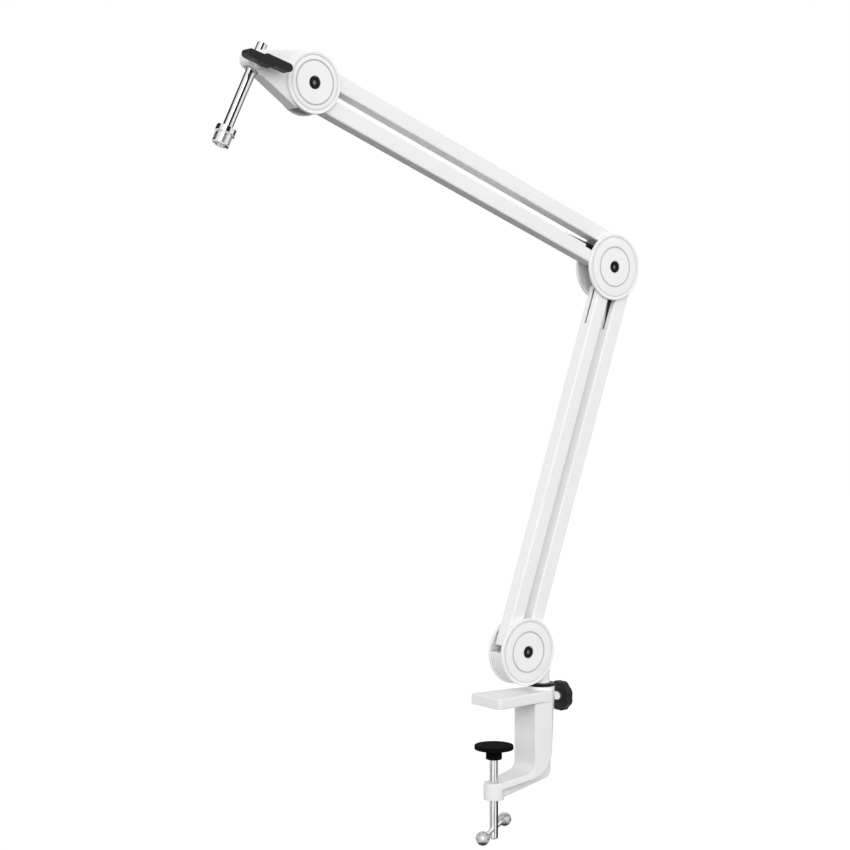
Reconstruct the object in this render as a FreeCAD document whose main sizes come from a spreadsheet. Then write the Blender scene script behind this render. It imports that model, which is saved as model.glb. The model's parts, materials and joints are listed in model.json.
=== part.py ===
import FreeCAD, Part
import Sketcher
import os
import re

from FreeCAD import Placement, Rotation, Vector

# A white desk-clamp boom arm for a microphone. Two pairs of square tubes form two parallelograms, so
# the elbow and the head keep their angle while the arm moves. Springs inside two of the tubes carry
# the weight, and a chrome rod with a microphone thread hangs from the head.
#
# Frame: +Z up, the arm lies in the XZ plane and reaches towards -X, +Y is the side away from the
# wing knob. The origin is on the axis of the clamp screw, at the underside of the upper jaw, which
# is the face that lies on the desk. Millimetres and degrees.

doc = FreeCAD.newDocument("microphone_boom_arm")

# Driving sizes: name, value. A hub's own places are counted from its centre bolt, u along X, w along Z.
SIZES = [
    # play and cuts
    ("run_gap", 0.05),            # radial play of a pin, a screw or the rod in its bore
    ("face_gap", 0.3),            # gap between flat faces that pass each other
    ("seat_gap", 0.02),           # play of a piece in its own seat
    ("overrun", 2.0),             # how far a cut runs past the face that it opens
    # desk clamp
    ("jaw_reach", 58.3),          # screw axis to the axis of the post
    ("jaw_nose", 11.4),           # screw axis to the free end of the upper jaw
    ("jaw_thick", 10.0),
    ("jaw_width", 43.5),          # at the free end
    ("jaw_corner", 3.0),
    ("spine_width", 31.0),
    ("spine_front", 20.6),        # post axis to the spine's face towards the desk
    ("spine_back", 1.0),          # post axis to the spine's outer face
    ("throat", 72.5),             # underside of the jaw to the top of the lower arm
    ("foot_thick", 6.6),          # lower arm of the clamp
    ("foot_rise", 7.0),           # the lower arm climbs from the screw to the spine
    ("inner_bend", 9.0),
    ("outer_bend", 27.0),
    ("rib_thick", 8.0),
    ("rib_drop", 9.2),            # rib below the lower arm, at the screw boss
    ("rib_top", 40.0),            # top of the rib, below the underside of the jaw
    ("rib_back", 9.0),            # post axis to the outer edge of the rib
    ("rib_sag", 7.0),             # rib below the lower arm, at its outer corner
    ("rib_corner", 9.0),
    ("boss_radius", 9.7),         # boss of the clamp screw
    ("boss_height", 16.0),
    ("socket_radius", 12.7),      # round socket of the post, at the back of the spine
    ("socket_foot_radius", 10.4), # the socket tapers to its lower end
    ("socket_foot", 50.0),        # its lower end below the underside of the jaw
    ("socket_top", 13.2),
    # post bush and thumb screw
    ("spigot_radius", 6.0),
    ("spigot_length", 42.0),
    ("bush_wall", 2.0),
    ("flange_radius", 12.8),
    ("flange_thick", 2.4),
    ("thumb_height", 0.5),        # axis of the thumb screw above the underside of the jaw
    ("stud_radius", 3.0),
    ("ferrule_radius", 6.2),      # at the knob
    ("ferrule_nose_radius", 4.4), # towards the post
    ("ferrule_length", 8.0),
    ("thumb_radius", 14.6),
    ("thumb_thick", 6.6),
    ("flute_radius", 16.0),
    ("flute_depth", 0.8),
    ("flute_count", 8),
    # clamp screw
    ("screw_radius", 4.0),
    ("screw_length", 86.0),
    ("pad_radius", 18.4),
    ("pad_thick", 4.0),
    ("pad_drop", 37.0),           # top of the pad below the underside of the jaw
    ("collar_radius", 7.6),
    ("collar_length", 9.5),
    ("pad_web", 3.0),             # pad left over the end of the screw
    ("screw_bevel", 1.0),
    ("tommy_radius", 2.0),
    ("tommy_length", 76.0),       # between the centres of the balls
    ("tommy_drop", 116.5),        # axis of the bar below the underside of the jaw
    ("tommy_turn", 35.0),         # angle of the bar from the X axis, seen from above
    ("ball_radius", 6.6),
    # hubs
    ("hub_height", 48.4),         # centre of the base hub above the underside of the jaw
    ("post_offset", 25.0),        # post axis behind the centre of the base hub
    ("post_radius", 7.8),
    ("post_foot_radius", 8.3),    # flare of the post on the flange of its bush
    ("post_foot_height", 1.2),
    ("disc_radius", 32.0),        # base and elbow
    ("head_disc_radius", 27.0),
    ("disc_thick", 2.9),
    ("disc_bevel", 0.9),
    ("rim_width", 3.0),           # raised rim of a disc, outside its fine line
    ("rim_line_width", 1.0),
    ("rim_line_depth", 0.7),
    ("groove_radius", 19.0),
    ("groove_width", 1.7),
    ("groove_depth", 0.8),
    ("drum_inset", 1.5),          # drum of the base inside the rim of its discs
    ("drum_top", 1.6),
    ("hub_boss_radius", 6.3),
    ("bolt_radius", 3.0),
    ("bolt_head_radius", 5.2),
    ("bolt_head_thick", 1.9),
    ("bolt_web", 1.0),            # disc left under the head of the bolt
    ("bolt_recess_radius", 5.9),
    ("hex_radius", 2.3),
    ("hex_depth", 1.3),
    ("nut_radius", 5.7),
    ("nut_thick", 1.9),
    ("sleeve_radius", 3.8),
    ("pin_radius", 2.5),
    ("pin_seat", 2.0),            # depth of a pin in each disc
    ("bush_radius", 3.3),         # nylon bush on a pin
    # arm tubes
    ("tube_size", 14.8),
    ("tube_wall", 1.2),
    ("tube_corner", 1.5),
    ("front_tail", 11.0),         # front tube past its pin, at the base
    ("rear_tail", 9.0),
    ("insert_length", 20.0),      # end piece inside a tube
    ("tongue_thick", 5.0),
    ("fork_slot", 6.0),
    ("bar_spacing", 25.2),        # between the two pins of a pair
    ("lower_length", 354.5),      # pin to pin
    ("lower_lean", 19.3),         # back from upright
    ("upper_length", 365.0),
    ("upper_rise", 21.75),        # above level
    ("base_pin_u", -16.0),        # front pin of the lower pair at the base
    ("base_pin_w", 16.0),
    ("elbow_pin_u", -6.8),        # front pin of the lower pair at the elbow
    ("elbow_pin_w", -13.0),
    ("head_pin_u", 10.0),         # upper pin of the upper pair at the head
    ("head_pin_w", 9.1),
    ("front_gap", 8.0),           # pin to tube, front tube of the lower pair at the elbow
    ("lug_recess", 4.0),          # shoulder of that tube's end piece inside the tube
    ("rear_gap", 5.0),            # rear tube of the lower pair and top tube of the upper pair
    ("bottom_gap", 22.0),         # bottom tube of the upper pair at the elbow
    ("head_gap", 4.0),            # both upper tubes at the head
    # springs and their links
    ("spring_radius", 4.6),
    ("spring_wire", 1.0),
    ("spring_length", 150.0),
    ("anchor_radius", 1.5),
    ("link_width", 4.0),
    ("link_thick", 1.2),
    ("link_eye", 2.5),
    ("link_relief", 2.0),         # bottom of the relief for a link in an end piece, from the tube's axis
    ("tongue_relief", 4.4),       # the same, beside a tongue
    ("slot_width", 3.0),
    ("lower_link_far", 70.0),     # elbow pin to the spring's end of the link
    ("lower_link_side", 13.0),    # anchor beside the axis of the rear tube
    ("lower_link_near", 2.0),
    ("upper_anchor_inset", 9.2),   # anchor of the upper spring from the end piece at the head
    ("upper_link_side", 11.2),
    ("upper_link_near", 7.2),
    ("slit_width", 2.5),          # slit in the outer face of the front tube
    ("slit_length", 38.0),
    ("notch_length", 18.0),       # notch in the top of the bottom tube, at the elbow
    ("notch_depth", 3.0),
    # head and rod
    ("wedge_radius", 28.0),       # round end of the head casting
    ("wedge_top_tilt", 4.5),      # slope of its top edge
    ("wedge_under_tilt", 35.5),   # slope of its under edge
    ("wedge_under_sweep", 76.0),  # round end below the level of the bolt
    ("rod_u", -54.6),             # point of the rod's axis in the middle of the tip
    ("rod_w", 13.1),
    ("rod_tilt", 26.1),           # rod from upright
    ("wedge_nose", 65.0),         # bolt to the rounded tip
    ("tip_round", 6.6),
    ("liner_above", 8.4),         # liner above and below that point
    ("liner_below", 5.4),
    ("rod_radius", 4.7),
    ("rod_above", 19.0),          # top of the rod above its point in the tip
    ("rod_below", 62.3),          # shoulder of the thread piece below it
    ("liner_wall", 1.15),
    ("collar_ring_radius", 9.15),
    ("collar_ring_length", 5.8),
    ("thread_radius", 7.94),      # 5/8 inch microphone thread
    ("thread_length", 10.2),
    ("thread_bevel", 0.6),
    ("thread_seat", 8.0),         # rod inside the thread piece
    ("wing_boss_radius", 6.0),
    ("wing_boss_height", 5.0),
    ("wing_stud_radius", 2.5),
    ("wing_length", 46.0),
    ("wing_width", 7.4),
    ("wing_jog", 1.0),            # each wing to its side of the middle line
    ("wing_depth", 10.5),
    ("wing_collar_radius", 4.2),
    ("wing_collar_length", 2.2),
    ("wing_turn", 17.0),          # slope of the wings
    ("wing_hub_share", 0.18),     # thick middle of the knob, as a share of its length
]

# Sizes and places that follow from the driving ones.
DERIVED = [
    ("upper_anchor_along", "upper_length - head_gap - insert_length - upper_anchor_inset"),
    ("upper_link_far", "upper_anchor_along - anchor_radius - face_gap - spring_length"),
    ("spine_inner", "jaw_reach - spine_front"),
    ("spine_outer", "jaw_reach + spine_back"),
    ("foot_under", "-throat - foot_thick"),
    ("foot_corner", "foot_under + foot_rise * spine_outer / spine_inner"),
    ("bush_outer", "spigot_radius + run_gap + bush_wall"),
    ("flange_top", "socket_top + flange_thick"),
    ("post_foot", "flange_top + face_gap"),
    ("screw_top", "-pad_drop - pad_web"),
    ("collar_end", "-pad_drop - pad_thick - collar_length"),
    ("thumb_start", "jaw_reach + socket_radius + face_gap"),
    ("half_gap", "tube_size / 2 + face_gap"),
    ("hub_face", "half_gap + disc_thick"),
    ("pin_half", "half_gap + pin_seat"),
    ("insert_size", "tube_size - 2 * tube_wall - 2 * seat_gap"),
    ("base_x", "jaw_reach - post_offset"),
    ("elbow_x", "base_x + base_pin_u + lower_length * sin(lower_lean) - elbow_pin_u"),
    ("elbow_z", "hub_height + base_pin_w + lower_length * cos(lower_lean) - elbow_pin_w"),
    ("head_x", "elbow_x - upper_length * cos(upper_rise) - head_pin_u"),
    ("head_z", "elbow_z + bar_spacing + upper_length * sin(upper_rise) - head_pin_w"),
    ("upper_lean", "upper_rise - 90"),
    ("liner_radius", "rod_radius + run_gap + liner_wall"),
    ("tip_x", "head_x + rod_u"),
    ("tip_z", "head_z + rod_w"),
    ("wing_face", "tube_size / 2 + wing_boss_height"),
]


def fill_sheet():
    """Writes every driving size as a plain number and every derived one as a formula."""
    sheet = doc.addObject("Spreadsheet::Sheet", "sizes")
    rows = [(name, str(number)) for name, number in SIZES]
    rows += [(name, "=" + formula) for name, formula in DERIVED]
    for row, (name, content) in enumerate(rows, start=1):
        sheet.set("A%d" % row, name)
        sheet.set("B%d" % row, content)
        sheet.setAlias("B%d" % row, name)
    doc.recompute()
    return sheet


sizes = fill_sheet()
NAMES = {name for name, _ in SIZES} | {name for name, _ in DERIVED}

# Edges are picked by direction and by place, within these limits.
STRAIGHT_SHARE = 0.99
NEAR = 0.001


def ex(text):
    """An expression on the sheet, from one that uses the bare names of the sizes."""
    return re.sub(r"[a-z]\w*", lambda word: "sizes." * (word.group() in NAMES) + word.group(), text)


def value(text):
    """The number that an expression has now."""
    return float(sizes.evalExpression(ex(text)))


def bind(thing, **expressions):
    """Ties properties of an object to the sheet."""
    for name, text in expressions.items():
        thing.setExpression(name, ex(text))
    return thing


def place(thing, x="0", y="0", z="0", turn=None, axis=(0, 1, 0)):
    """Puts an object at a point, turned about an axis, all tied to the sheet."""
    if turn is not None:
        thing.Placement = Placement(Vector(), Rotation(Vector(*axis), 1))
        thing.setExpression("Placement.Rotation.Angle", ex(turn))
    for letter, text in zip("xyz", (x, y, z)):
        thing.setExpression("Placement.Base." + letter, ex(text))
    return thing


def block(name, x, y, z):
    """A box between pairs of expressions."""
    box = doc.addObject("Part::Box", name)
    for side, (low, high) in zip(("Length", "Width", "Height"), (x, y, z)):
        box.setExpression(side, ex("(%s) - (%s)" % (high, low)))
    return place(box, x[0], y[0], z[0])


def rod(name, radius, low, high, along="z", at=("0", "0")):
    """A cylinder along an axis, between two places on it; `at` gives its two other places."""
    cylinder = bind(doc.addObject("Part::Cylinder", name), Radius=radius,
                    Height="(%s) - (%s)" % (high, low))
    if along == "x":
        return place(cylinder, low, at[0], at[1], "90")
    if along == "y":
        return place(cylinder, at[0], low, at[1], "-90", (1, 0, 0))
    return place(cylinder, at[0], at[1], low)


def taper(name, low_radius, high_radius, low, high, along="z", at=("0", "0")):
    """A cone along X or Z, between two places on its axis; `at` gives its two other places."""
    cone = bind(doc.addObject("Part::Cone", name), Radius1=low_radius, Radius2=high_radius,
                Height="(%s) - (%s)" % (high, low))
    if along == "x":
        return place(cone, low, at[0], at[1], "90")
    return place(cone, at[0], at[1], low)


def fuse(name, *pieces):
    """One solid from pieces that grow into each other."""
    joined = doc.addObject("Part::MultiFuse", name)
    joined.Shapes = list(pieces)
    return joined


def cut(name, base, *tools):
    """A solid with tools taken away from it."""
    left = doc.addObject("Part::Cut", name)
    left.Base = base
    left.Tool = tools[0] if len(tools) == 1 else fuse(name + "_tools", *tools)
    return left


def common(name, first, second):
    """What two solids share."""
    shared = doc.addObject("Part::Common", name)
    shared.Base = first
    shared.Tool = second
    return shared


def group(name, pieces):
    """Separate solids under one name."""
    together = doc.addObject("Part::Compound", name)
    together.Links = list(pieces)
    return together


def outline(body, plane, corners):
    """A closed sketch of straight sides, each corner held by its two distances from the origin."""
    sketch = body.newObject("Sketcher::SketchObject", body.Name + "_outline")
    sketch.AttachmentSupport = [(next(f for f in body.Origin.OriginFeatures if f.Role == plane), "")]
    sketch.MapMode = "FlatFace"
    points = [Vector(value(across), value(up), 0) for across, up in corners]
    count = len(points)
    for start in range(count):
        sketch.addGeometry(Part.LineSegment(points[start], points[(start + 1) % count]))
    for start in range(count):
        sketch.addConstraint(Sketcher.Constraint("Coincident", start, 2, (start + 1) % count, 1))
    for start, corner in enumerate(corners):
        for kind, text, number in zip(("DistanceX", "DistanceY"), corner, points[start]):
            held = sketch.addConstraint(Sketcher.Constraint(kind, -1, 1, start, 1, number))
            sketch.setExpression("Constraints[%d]" % held, ex(text))
    return sketch


def turned(name, corners):
    """A turned piece: corners are pairs of radius and height, spun about the Z axis."""
    body = doc.addObject("PartDesign::Body", name)
    spin = body.newObject("PartDesign::Revolution", name + "_spin")
    spin.Profile = outline(body, "XZ_Plane", corners)
    spin.ReferenceAxis = (spin.Profile[0], ["V_Axis"])
    spin.Angle = 360
    body.Tip = spin
    return body


def plate(name, plane, corners, depth, rounds=()):
    """A flat piece, padded to both sides of its plane; rounds are pairs of radius and corner numbers."""
    body = doc.addObject("PartDesign::Body", name)
    pad = body.newObject("PartDesign::Pad", name + "_pad")
    pad.Profile = outline(body, plane, corners)
    pad.SideType = "Symmetric"
    bind(pad, Length=depth)
    doc.recompute()
    flat = Vector(0, 1, 0) if plane == "XZ_Plane" else Vector(0, 0, 1)
    last = pad
    for radius, numbers in rounds:
        spots = [Vector(*(value(text) for text in corners[number])) for number in numbers]
        chosen = []
        for index, edge in enumerate(last.Shape.Edges, start=1):
            middle = edge.CenterOfMass
            here = Vector(middle.x, middle.z if plane == "XZ_Plane" else middle.y)
            along = abs(edge.tangentAt(edge.FirstParameter).dot(flat))
            if along > STRAIGHT_SHARE and any(here.isEqual(spot, NEAR) for spot in spots):
                chosen.append("Edge%d" % index)
        rounded = body.newObject("PartDesign::Fillet", name + "_round")
        rounded.Base = (last, chosen)
        bind(rounded, Radius=radius)
        doc.recompute()
        last = rounded
    return body


def facing_front(thing, x, z, y):
    """Turns a piece made along Z so that it points to the front, -Y, from the given plane."""
    return place(thing, x, y, z, "90", (1, 0, 0))


def facing_back(thing, x, z, y):
    """Turns a piece made along Z so that it points to the back, +Y, from the given plane."""
    return place(thing, x, y, z, "-90", (1, 0, 0))


# Desk clamp
def make_clamp_frame():
    jaw = plate("clamp_jaw", "XY_Plane",
                [("-jaw_nose", "-jaw_width / 2"), ("jaw_reach", "-spine_width / 2"),
                 ("jaw_reach", "spine_width / 2"), ("-jaw_nose", "jaw_width / 2")],
                "jaw_thick", [("jaw_corner", (0, 3))])
    place(jaw, z="jaw_thick / 2")
    upright = plate("clamp_spine", "XZ_Plane",
                    [("spine_inner", "jaw_thick"), ("spine_inner", "-throat + foot_rise"), ("0", "-throat"),
                     ("0", "foot_under"), ("spine_outer", "foot_corner"), ("spine_outer", "jaw_thick")],
                    "spine_width", [("inner_bend", (1,)), ("outer_bend", (4,))])
    plan = plate("clamp_plan", "XY_Plane",
                 [("0", "-boss_radius"), ("spine_inner", "-spine_width / 2"),
                  ("spine_outer + overrun", "-spine_width / 2"), ("spine_outer + overrun", "spine_width / 2"),
                  ("spine_inner", "spine_width / 2"), ("0", "boss_radius")],
                 "2 * (throat + foot_thick + jaw_thick)")
    bend = common("clamp_bend", upright, plan)
    rib = plate("clamp_rib", "XZ_Plane",
                [("spine_inner + inner_bend", "-rib_top"), ("jaw_reach + rib_back", "-rib_top"),
                 ("jaw_reach + rib_back", "foot_corner - rib_sag"), ("boss_radius / 2", "foot_under - rib_drop"),
                 ("boss_radius / 2", "-throat - foot_thick / 2"),
                 ("spine_inner + inner_bend", "-throat - foot_thick / 2 + foot_rise")],
                "rib_thick", [("rib_corner", (2,))])
    socket = taper("clamp_socket", "socket_foot_radius", "socket_radius", "-socket_foot", "socket_top",
                   at=("jaw_reach", "0"))
    boss = rod("clamp_boss", "boss_radius", "-throat - boss_height", "-throat")
    casting = fuse("clamp_casting", jaw, bend, rib, socket, boss)
    post_bore = rod("clamp_post_bore", "bush_outer + seat_gap", "socket_top - spigot_length - overrun",
                    "socket_top + overrun", at=("jaw_reach", "0"))
    screw_bore = rod("clamp_screw_bore", "screw_radius + run_gap", "-throat - boss_height - overrun",
                     "-throat + overrun")
    stud_bore = rod("clamp_stud_bore", "stud_radius + run_gap", "jaw_reach", "thumb_start + overrun",
                    "x", ("0", "thumb_height"))
    return cut("clamp_frame", casting, post_bore, screw_bore, stud_bore)


def make_post_bush():
    ring = turned("post_bush_ring", [
        ("spigot_radius + run_gap", "flange_top"), ("flange_radius", "flange_top"),
        ("flange_radius", "socket_top"), ("bush_outer", "socket_top"),
        ("bush_outer", "socket_top - spigot_length"),
        ("spigot_radius + run_gap", "socket_top - spigot_length")])
    place(ring, "jaw_reach")
    window = rod("post_bush_window", "stud_radius + run_gap", "jaw_reach",
                 "jaw_reach + bush_outer + overrun", "x", ("0", "thumb_height"))
    return cut("post_bush", ring, window)


def make_thumb_screw():
    stud = rod("thumb_stud", "stud_radius", "jaw_reach + spigot_radius + face_gap",
               "thumb_start + ferrule_length + thumb_thick / 2", "x", ("0", "thumb_height"))
    ring = taper("thumb_ferrule_ring", "ferrule_nose_radius", "ferrule_radius", "thumb_start",
                 "thumb_start + ferrule_length", "x", ("0", "thumb_height"))
    hole = rod("thumb_ferrule_hole", "stud_radius + seat_gap", "thumb_start - overrun",
               "thumb_start + ferrule_length + overrun", "x", ("0", "thumb_height"))
    ferrule = cut("thumb_ferrule", ring, hole)
    start = "thumb_start + ferrule_length"
    blank = rod("thumb_knob_blank", "thumb_radius", start, start + " + thumb_thick", "x", ("0", "thumb_height"))
    tools = [rod("thumb_knob_bore", "stud_radius + seat_gap", start + " - overrun",
                 start + " + thumb_thick / 2 + seat_gap", "x", ("0", "thumb_height"))]
    for number in range(int(sizes.flute_count)):
        angle = "360 / flute_count * %d" % number
        away = "(thumb_radius + flute_radius - flute_depth)"
        tools.append(rod("thumb_flute_%d" % number, "flute_radius", start + " - overrun",
                         start + " + thumb_thick + overrun", "x",
                         ("%s * cos(%s)" % (away, angle), "thumb_height + %s * sin(%s)" % (away, angle))))
    return [stud, ferrule, cut("thumb_knob", blank, *tools)]


# Clamp screw, its pad and its turning bar
def make_clamp_screw():
    shank = turned("clamp_screw_shank", [
        ("0", "screw_top"), ("screw_radius", "screw_top"),
        ("screw_radius", "screw_top - screw_length + screw_bevel"),
        ("screw_radius - screw_bevel", "screw_top - screw_length"), ("0", "screw_top - screw_length")])
    eye = rod("clamp_screw_eye", "tommy_radius + run_gap", "-screw_radius - overrun", "screw_radius + overrun", "x")
    place(eye, "-(screw_radius + overrun) * cos(tommy_turn)", "-(screw_radius + overrun) * sin(tommy_turn)",
          "-tommy_drop")
    aim(eye)
    pad = turned("screw_pad", [
        ("0", "-pad_drop"), ("pad_radius", "-pad_drop"), ("pad_radius", "-pad_drop - pad_thick"),
        ("collar_radius", "-pad_drop - pad_thick"), ("collar_radius", "collar_end"),
        ("screw_radius + run_gap", "collar_end"), ("screw_radius + run_gap", "screw_top + seat_gap"),
        ("0", "screw_top + seat_gap")])
    return [cut("clamp_screw", shank, eye), pad]


def aim(thing):
    """Lays a piece made along Z level, along the direction of the turning bar."""
    heading = Vector(value("cos(tommy_turn)"), value("sin(tommy_turn)"), 0)
    thing.setExpression("Placement.Rotation.Angle", None)
    thing.Placement = Placement(thing.Placement.Base, Rotation(Vector(0, 0, 1), heading))


def make_tommy_bar():
    half = "(tommy_length / 2)"
    bar = rod("tommy_bar", "tommy_radius", "-" + half, half)
    place(bar, "-%s * cos(tommy_turn)" % half, "-%s * sin(tommy_turn)" % half, "-tommy_drop")
    aim(bar)
    balls = []
    for side, sign in (("front", "-"), ("rear", "")):
        ball = bind(doc.addObject("Part::Sphere", "tommy_ball_%s_blank" % side), Radius="ball_radius")
        place(ball, "%s%s * cos(tommy_turn)" % (sign, half), "%s%s * sin(tommy_turn)" % (sign, half), "-tommy_drop")
        hole = rod("tommy_ball_%s_hole" % side, "tommy_radius + seat_gap", "-" + half, half)
        place(hole, "-%s * cos(tommy_turn)" % half, "-%s * sin(tommy_turn)" % half, "-tommy_drop")
        aim(hole)
        balls.append(cut("tommy_ball_" + side, ball, hole))
    return [bar, group("tommy_balls", balls)]


# Hubs
def make_disc(name, radius, x, z, front, pins):
    """A cover disc with its ring groove, its bolt recess and blind seats for the pins, on one side."""
    face = "disc_thick"
    blank = turned(name + "_blank", [
        ("bolt_radius + seat_gap", "0"), (radius, "0"), (radius, face + " - disc_bevel"),
        (radius + " - disc_bevel", face), (radius + " - rim_width", face),
        (radius + " - rim_width", face + " - rim_line_depth"),
        (radius + " - rim_width - rim_line_width", face + " - rim_line_depth"),
        (radius + " - rim_width - rim_line_width", face), ("groove_radius + groove_width / 2", face),
        ("groove_radius + groove_width / 2", face + " - groove_depth"),
        ("groove_radius - groove_width / 2", face + " - groove_depth"),
        ("groove_radius - groove_width / 2", face), ("bolt_recess_radius", face),
        ("bolt_recess_radius", "bolt_web"), ("bolt_radius + seat_gap", "bolt_web")])
    if front:
        facing_front(blank, x, z, "-half_gap")
        low, high = "-pin_half - seat_gap", "-half_gap + overrun"
    else:
        facing_back(blank, x, z, "half_gap")
        low, high = "half_gap - overrun", "pin_half + seat_gap"
    seats = []
    for number, (pin_x, pin_z, pin_radius) in enumerate(pins):
        seats.append(rod("%s_seat_%d" % (name, number), pin_radius + " + seat_gap", low, high, "y", (pin_x, pin_z)))
    return cut(name, blank, *seats)


def make_bolt(name, x, z):
    """A low socket bolt from the front and a thin nut in the recess of the back disc."""
    under = "half_gap + bolt_web"
    shank = turned(name + "_shank", [
        ("0", under + " + bolt_head_thick"), ("bolt_head_radius", under + " + bolt_head_thick"),
        ("bolt_head_radius", under), ("bolt_radius", under),
        ("bolt_radius", "-hub_face"), ("0", "-hub_face")])
    facing_front(shank, x, z, "0")
    socket = bind(doc.addObject("Part::Prism", name + "_socket"), Circumradius="hex_radius",
                  Height="hex_depth + overrun")
    socket.Polygon = 6
    facing_front(socket, x, z, "-(%s + bolt_head_thick - hex_depth)" % under)
    nut = bind(doc.addObject("Part::Prism", name + "_nut_blank"), Circumradius="nut_radius", Height="nut_thick")
    nut.Polygon = 6
    facing_back(nut, x, z, under)
    thread = rod(name + "_nut_thread", "bolt_radius + seat_gap", "half_gap", "hub_face + overrun", "y", (x, z))
    return [cut(name, shank, socket), cut(name.replace("bolt", "nut"), nut, thread)]


def make_sleeve(name, x, z):
    """A spacer on the bolt, between the discs, on which the pieces of the hub turn."""
    outer = rod(name + "_blank", "sleeve_radius", "-half_gap", "half_gap", "y", (x, z))
    inner = rod(name + "_bore", "bolt_radius + seat_gap", "-half_gap - overrun", "half_gap + overrun", "y", (x, z))
    return cut(name, outer, inner)


def make_pins(name, pins):
    """Plain pins held in blind seats between the two discs of a hub."""
    return group(name, [rod("%s_%d" % (name, number), radius, "-pin_half", "pin_half", "y", (x, z))
                        for number, (x, z, radius) in enumerate(pins)])


def at(hub_x, hub_z, u, w):
    """A place on a hub, from the hub's centre."""
    return "%s + (%s)" % (hub_x, u), "%s + (%s)" % (hub_z, w)


# Pins: X, Z and radius
BASE_PINS = [
    at("base_x", "hub_height", "base_pin_u", "base_pin_w") + ("pin_radius",),
    at("base_x", "hub_height", "base_pin_u + bar_spacing", "base_pin_w") + ("pin_radius",),
]
# Anchors of the two springs, worked out in the frame of the tube that each spring lies in.
LOWER_ANCHOR = at(
    "elbow_x", "elbow_z",
    "elbow_pin_u + bar_spacing - lower_link_side * cos(lower_lean) - lower_link_near * sin(lower_lean)",
    "elbow_pin_w + lower_link_side * sin(lower_lean) - lower_link_near * cos(lower_lean)")
UPPER_ANCHOR = at(
    "elbow_x", "elbow_z",
    "upper_link_side * sin(upper_rise) - upper_link_near * cos(upper_rise)",
    "upper_link_side * cos(upper_rise) + upper_link_near * sin(upper_rise)")
ELBOW_PINS = [
    at("elbow_x", "elbow_z", "elbow_pin_u", "elbow_pin_w") + ("pin_radius",),
    at("elbow_x", "elbow_z", "elbow_pin_u + bar_spacing", "elbow_pin_w") + ("pin_radius",),
    at("elbow_x", "elbow_z", "0", "bar_spacing") + ("pin_radius",),
]
ELBOW_ANCHORS = [LOWER_ANCHOR + ("anchor_radius",), UPPER_ANCHOR + ("anchor_radius",)]
HEAD_PINS = [
    at("head_x", "head_z", "head_pin_u", "head_pin_w") + ("pin_radius",),
    at("head_x", "head_z", "head_pin_u", "head_pin_w - bar_spacing") + ("pin_radius",),
]


def make_hub(name, x, z, radius, pins):
    """Both discs of a hub with its bolt and nut."""
    discs = [make_disc(name + "_front_disc", radius, x, z, True, pins),
             make_disc(name + "_back_disc", radius, x, z, False, pins)]
    return discs + make_bolt(name + "_bolt", x, z)


def make_base_casting():
    """The lower half of a drum between the discs, grown into the post that turns in the clamp."""
    drum = rod("base_drum_blank", "disc_radius - drum_inset", "-half_gap", "half_gap", "y", ("base_x", "hub_height"))
    keep = block("base_drum_keep", ("base_x - disc_radius", "base_x + disc_radius"),
                 ("-half_gap", "half_gap"), ("hub_height - disc_radius", "hub_height + drum_top"))
    half = common("base_drum", drum, keep)
    boss = rod("base_boss", "hub_boss_radius", "-half_gap", "half_gap", "y", ("base_x", "hub_height"))
    post = rod("base_post", "post_radius", "post_foot", "hub_height", at=("jaw_reach", "0"))
    spigot = rod("base_spigot", "spigot_radius", "socket_top - spigot_length", "post_foot + overrun",
                 at=("jaw_reach", "0"))
    flare = taper("base_flare", "post_foot_radius", "post_radius", "post_foot", "post_foot + post_foot_height",
                  at=("jaw_reach", "0"))
    casting = fuse("base_casting_blank", half, boss, post, flare, spigot)
    tools = [rod("base_bolt_bore", "bolt_radius + seat_gap", "-half_gap - overrun", "half_gap + overrun", "y",
                 ("base_x", "hub_height"))]
    for side, low, high in (("front", "-hub_face - overrun", "-half_gap"), ("back", "half_gap", "hub_face + overrun")):
        tools.append(rod("base_relief_" + side, "disc_radius + seat_gap", low, high, "y", ("base_x", "hub_height")))
    return cut("base_casting", casting, *tools)


# Arm tubes, made along Z from the pin at the lower or inner end
def rounded_bar(name, size, corner, low, high):
    """A square bar with rounded long edges."""
    half = "(%s) / 2" % size
    bar = block(name + "_blank", ("-" + half, half), ("-" + half, half), (low, high))
    doc.recompute()
    radius = value(corner)
    upright = [number for number, edge in enumerate(bar.Shape.Edges, start=1)
               if abs(edge.tangentAt(edge.FirstParameter).z) > STRAIGHT_SHARE]
    rounded = doc.addObject("Part::Fillet", name)
    rounded.Base = bar
    rounded.Edges = [(number, radius, radius) for number in upright]
    return rounded


def make_tube(name, low, high, *tools):
    """A square tube with the given holes and slots."""
    outer = rounded_bar(name + "_outer", "tube_size", "tube_corner", low, high)
    inner = rounded_bar(name + "_inner", "tube_size - 2 * tube_wall", "tube_corner - tube_wall",
                        "%s - overrun" % low, "%s + overrun" % high)
    return cut(name, outer, inner, *tools)


def cross_hole(name, radius, height):
    """A hole straight through both side walls of a tube."""
    return rod(name, radius, "-tube_size / 2 - overrun", "tube_size / 2 + overrun", "y", ("0", height))


def wall_slot(name, side, low, high, width):
    """A slot in the wall towards +X or -X, between two heights."""
    inner = "(tube_size / 2 - tube_wall - seat_gap)"
    outer = "(tube_size / 2 + overrun)"
    across = (inner, outer) if side > 0 else ("-" + outer, "-" + inner)
    return block(name, across, ("-(%s) / 2" % width, "(%s) / 2" % width), (low, high))


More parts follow.
